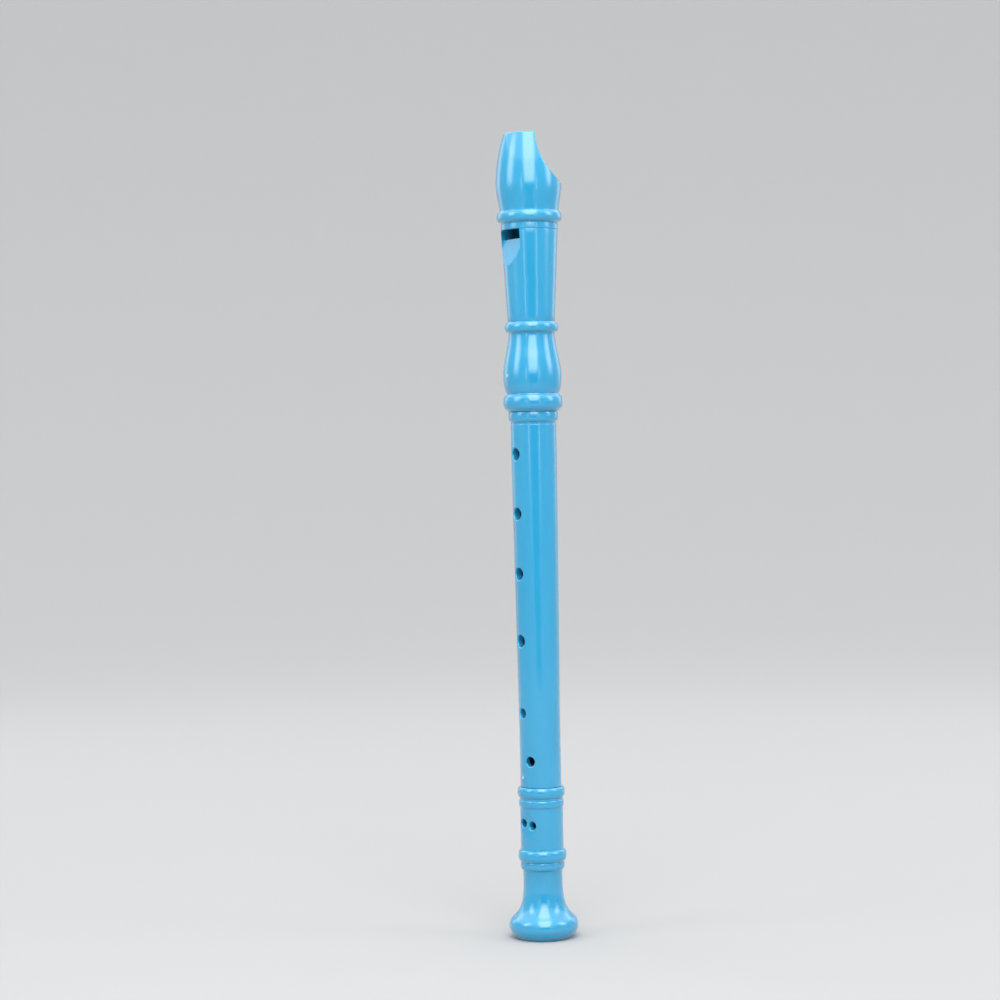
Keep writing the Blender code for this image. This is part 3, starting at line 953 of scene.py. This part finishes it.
def make_stage():
    """Pale floor that curves up into a backdrop all round."""
    flat, wall, top = 950.0, 2700.0, 1500.0
    outline = [(1.0, -0.05), (flat / 3, -0.05)]
    outline += curve((flat, -0.05), (flat + 900, -0.05), (wall - 300, 150), (wall, top), steps=40)
    outline += [(wall, top)]
    skin = Skin()
    angles = np.linspace(0, math.tau, 96, endpoint=False)
    rings = [skin.add(polar(radius, angles, z)) for radius, z in outline]
    for first, second in zip(rings, rings[1:]):
        skin.join(first, second)
    skin.faces.append(rings[0][::-1].tolist())
    mesh = bpy.data.meshes.new("studio_floor")
    mesh.from_pydata((np.concatenate(skin.points) * MM).tolist(), [], skin.faces)
    mesh.flip_normals()
    floor = bpy.data.objects.new("studio_floor", mesh)
    bpy.context.scene.collection.objects.link(floor)
    mesh.shade_smooth()
    mesh.materials.append(pale_floor())


def fade(tree, coordinate, edge):
    """1 in the middle of a coordinate that runs from 0 to 1, falling to 0 at both its ends."""
    away = calculate(tree, "ABSOLUTE", calculate(tree, "SUBTRACT", coordinate, 0.5))
    return smooth_step(tree, away, 0.5, 0.5 - edge)


def soften_edges(data, edge):
    """Makes an area light fade out towards its edges, over a share of its width and height."""
    data.use_nodes = True
    tree = data.node_tree
    split = tree.nodes.new("ShaderNodeSeparateXYZ")
    link(tree, tree.nodes.new("ShaderNodeNewGeometry").outputs["Parametric"], split.inputs["Vector"])
    across, up = fade(tree, split.outputs["X"], edge), fade(tree, split.outputs["Y"], edge)
    link(tree, calculate(tree, "MULTIPLY", across, up), tree.nodes["Emission"].inputs["Strength"])


def soft_light(name, azimuth, elevation, width, height, radiance, edge=0.25, distance=0.9):
    """Softbox that faces the middle of the recorder. Its width and height are degrees as seen from there."""
    data = bpy.data.lights.new(name, "AREA")
    data.shape = "RECTANGLE"
    data.size = 2 * distance * math.cos(math.radians(elevation)) * math.tan(math.radians(width / 2))
    data.size_y = 2 * distance * math.tan(math.radians(height / 2))
    data.energy = radiance * math.pi * data.size * data.size_y
    lamp = bpy.data.objects.new(name, data)
    target = Vector((0, 0, TIP_Z * MM / 2))
    lamp.location = around(azimuth, elevation, distance, target)
    lamp.rotation_euler = (target - lamp.location).to_track_quat("-Z", "Y").to_euler()
    lamp.visible_camera = False
    soften_edges(data, edge)
    bpy.context.scene.collection.objects.link(lamp)


def make_flag():
    """Dark cloth behind the camera and on the floor below it, which shows as a dark streak down the tubes."""
    azimuth, spread = 2, 0.26
    turn = math.radians(CAMERA_AZIMUTH + azimuth)
    sideways = Vector((math.cos(turn), math.sin(turn), 0))
    corners = []
    for distance, z in ((830.0, 2.0), (1150.0, 2.0), (1150.0, 420.0)):
        middle = around(azimuth, 0, distance, Vector((0, 0, z)))
        corners += [middle - sideways * distance * spread, middle + sideways * distance * spread]
    skin = Skin()
    skin.add(corners)
    skin.faces += [[0, 1, 3, 2], [2, 3, 5, 4]]
    flag = skin.build("flag")
    flag.data.materials.append(matte("dark_cloth", CLOTH_COLOUR))
    flag.visible_camera = False
    flag.visible_shadow = False
    flag.visible_diffuse = False


def make_lights():
    soft_light("key", 3, 46, 66, 86, 3.6)
    soft_light("left_panel", -68, 27, 40, 54, 3.3, edge=0.45)
    soft_light("right_panel", 74, 27, 38, 54, 3.5, edge=0.45)
    soft_light("left_strip", -25, 9, 8, 26, 1.4)
    soft_light("right_strip", 27, 9, 8, 26, 1.4)
    soft_light("left_rim", -128, 18, 36, 56, 0.95, edge=0.45)
    soft_light("right_rim", 128, 18, 36, 56, 0.95, edge=0.45)
    world = bpy.data.worlds.new("studio")
    world.use_nodes = True
    background = world.node_tree.nodes["Background"]
    background.inputs["Color"].default_value = (1, 1, 1, 1)
    background.inputs["Strength"].default_value = 1.3
    bpy.context.scene.world = world
    bpy.context.scene.view_settings.view_transform = "Standard"


def make_camera():
    """Level camera with a shifted lens, which keeps the recorder's proportions true."""
    distance, height, aim_height, aside, lens = 0.908, 0.182, 0.16336, 0.0127, 87.45
    turn, roll = math.radians(CAMERA_AZIMUTH), math.radians(1.21)
    data = bpy.data.cameras.new("camera")
    data.sensor_width = 36.0
    data.lens = lens
    data.shift_y = (aim_height - height) / distance * lens / data.sensor_width
    data.clip_start = 0.01
    camera = bpy.data.objects.new("camera", data)
    leftwards = Vector((-math.cos(turn), -math.sin(turn), 0))
    camera.location = around(0, 0, distance, Vector((0, 0, height))) + leftwards * aside
    facing = Matrix.Rotation(turn, 3, "Z") @ Matrix.Rotation(math.radians(90), 3, "X")
    camera.rotation_euler = (facing @ Matrix.Rotation(-roll, 3, "Z")).to_euler()
    bpy.context.scene.collection.objects.link(camera)
    bpy.context.scene.camera = camera


def make_recorder():
    parts = (
        ("mouthpiece", "head", make_mouthpiece),
        ("fipple_block", "head", make_fipple_block),
        ("head_joint", "head", make_head_joint),
        ("middle_joint", "middle", make_middle_joint),
        ("foot_joint", "foot", make_foot_joint),
    )
    # Places of the gate marks on the head and the middle, where the plastic gets a painted highlight.
    highlighted_gates = {
        "head_joint": gate_place(BULB_RADIUS, *HEAD_GATE),
        "middle_joint": gate_place(TUBE_BOTTOM_RADIUS, *MIDDLE_GATE),
    }
    for node, body, make in parts:
        material = moulded_plastic(f"{node}_plastic", highlighted_gates.get(node))
        finish_piece(make(), node, body, material)


make_camera()
make_recorder()
make_stage()
make_flag()
make_lights()
